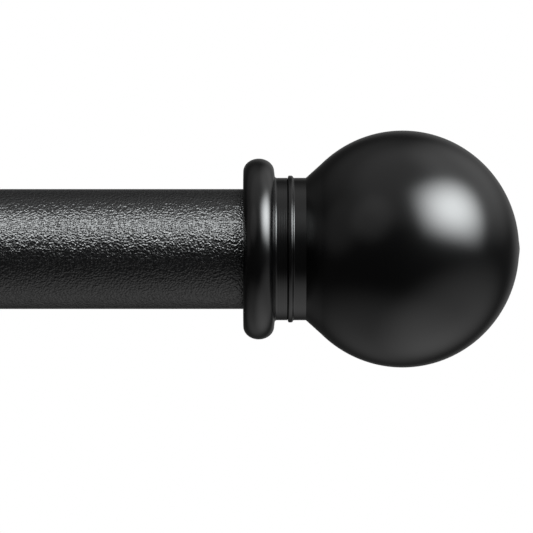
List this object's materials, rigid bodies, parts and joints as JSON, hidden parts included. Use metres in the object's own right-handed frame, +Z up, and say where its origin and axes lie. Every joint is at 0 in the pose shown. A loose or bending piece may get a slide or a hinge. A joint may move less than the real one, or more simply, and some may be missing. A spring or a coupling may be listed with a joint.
{
  "type": "curtain rod with brackets",
  "caption": "Telescoping round curtain rod with screw-on ball finials, resting in adjustable wall brackets with clamp screws.",
  "frame": {"origin": "on the wall plane, midway between the two brackets and level with the rod's axis", "axes": "+X along the rod towards the thick tube's finial, +Y into the wall, +Z up"},
  "size_m": [0.9202, 0.15, 0.0776],
  "materials": {
    "pebbled_black_steel": "pebble-textured black powder coat",
    "satin_black_resin": "smooth satin black lacquer on cast resin",
    "black_bracket_steel": "fine satin black powder coat",
    "black_screw_steel": "black oxide",
    "zinc_plated_steel": "bright zinc plate",
    "turned_brass": "turned brass",
    "natural_nylon": "natural nylon",
    "black_moulded_plastic": "moulded black plastic"
  },
  "bodies": {
    "wall_fixings": {"right_wall_plate": "black_bracket_steel", "right_arm_socket": "black_bracket_steel", "right_wall_screws": "black_screw_steel", "left_wall_plate": "black_bracket_steel", "left_arm_socket": "black_bracket_steel", "left_wall_screws": "black_screw_steel"},
    "right_lock": {"right_lock_screw": "black_screw_steel"},
    "left_lock": {"left_lock_screw": "black_screw_steel"},
    "right_arm": {"right_arm_bar": "black_bracket_steel", "right_cradle": "black_bracket_steel", "right_cradle_rivet": "black_screw_steel", "right_clamp_boss": "black_bracket_steel"},
    "left_arm": {"left_arm_bar": "black_bracket_steel", "left_cradle": "black_bracket_steel", "left_cradle_rivet": "black_screw_steel", "left_clamp_boss": "black_bracket_steel"},
    "right_tip": {"right_thumbscrew_tip": "natural_nylon"},
    "right_thumb": {"right_thumbscrew": "black_screw_steel"},
    "left_tip": {"left_thumbscrew_tip": "natural_nylon"},
    "left_thumb": {"left_thumbscrew": "black_screw_steel"},
    "outer_rod": {"outer_tube": "pebbled_black_steel", "mouth_ring": "black_moulded_plastic", "outer_end_plug": "natural_nylon", "outer_plug_nut": "zinc_plated_steel"},
    "inner_rod": {"inner_tube": "pebbled_black_steel", "guide_bush": "natural_nylon", "inner_end_plug": "natural_nylon", "inner_plug_nut": "zinc_plated_steel"},
    "right_cap": {"right_finial_base": "satin_black_resin"},
    "right_ball": {"right_finial_ball": "satin_black_resin", "right_finial_insert": "turned_brass", "right_finial_stud": "zinc_plated_steel"},
    "left_cap": {"left_finial_base": "satin_black_resin"},
    "left_ball": {"left_finial_ball": "satin_black_resin", "left_finial_insert": "turned_brass", "left_finial_stud": "zinc_plated_steel"}
  },
  "joints": [
    {"name": "right_arm_slide", "type": "slide", "parent": "wall_fixings", "child": "right_arm", "axis": [0, -1, 0], "range_m": [0, 0.0254]},
    {"name": "left_arm_slide", "type": "slide", "parent": "wall_fixings", "child": "left_arm", "axis": [0, -1, 0], "range_m": [0, 0.0254]},
    {"name": "rod_lift", "type": "slide", "parent": "right_arm", "child": "outer_rod", "axis": [0, 0, 1], "range_m": [0, 0.03]},
    {"name": "telescope", "type": "slide", "parent": "outer_rod", "child": "inner_rod", "axis": [-1, 0, 0], "range_m": [-0.05, 0.416]},
    {"name": "right_finial_draw", "type": "slide", "parent": "outer_rod", "child": "right_cap", "axis": [1, 0, 0], "range_m": [0, 0.008]},
    {"name": "right_finial_turn", "type": "hinge", "parent": "right_cap", "child": "right_ball", "pos_m": [0.414, -0.0889, 0], "axis": [1, 0, 0], "range_deg": [0, 2881]},
    {"name": "left_finial_draw", "type": "slide", "parent": "inner_rod", "child": "left_cap", "axis": [-1, 0, 0], "range_m": [0, 0.008]},
    {"name": "left_finial_turn", "type": "hinge", "parent": "left_cap", "child": "left_ball", "pos_m": [-0.389, -0.0889, 0], "axis": [-1, 0, 0], "range_deg": [0, 2881]},
    {"name": "right_thumbscrew_draw", "type": "slide", "parent": "right_arm", "child": "right_tip", "axis": [0, -1, 0], "range_m": [0, 0.0032]},
    {"name": "right_thumbscrew_turn", "type": "hinge", "parent": "right_tip", "child": "right_thumb", "pos_m": [0.324, -0.0889, 0], "axis": [0, -1, 0], "range_deg": [0, 1441]},
    {"name": "right_lock_turn", "type": "hinge", "parent": "wall_fixings", "child": "right_lock", "pos_m": [0.324, -0.044, 0], "axis": [0, 0, -1], "range_deg": [0, 180]},
    {"name": "left_thumbscrew_draw", "type": "slide", "parent": "left_arm", "child": "left_tip", "axis": [0, -1, 0], "range_m": [0, 0.0048]},
    {"name": "left_thumbscrew_turn", "type": "hinge", "parent": "left_tip", "child": "left_thumb", "pos_m": [-0.324, -0.0889, 0.0016], "axis": [0, -1, 0], "range_deg": [0, 2161]},
    {"name": "left_lock_turn", "type": "hinge", "parent": "wall_fixings", "child": "left_lock", "pos_m": [-0.324, -0.044, 0.0016], "axis": [0, 0, -1], "range_deg": [0, 180]}
  ],
  "couplings": [
    {"joint": "left_arm_slide", "follows": "right_arm_slide", "ratio": 1},
    {"joint": "right_finial_turn", "follows": "right_finial_draw", "rad_per_m": 6283.2},
    {"joint": "left_finial_turn", "follows": "left_finial_draw", "rad_per_m": 6283.2},
    {"joint": "right_thumbscrew_turn", "follows": "right_thumbscrew_draw", "rad_per_m": 7854},
    {"joint": "left_thumbscrew_turn", "follows": "left_thumbscrew_draw", "rad_per_m": 7854}
  ]
}
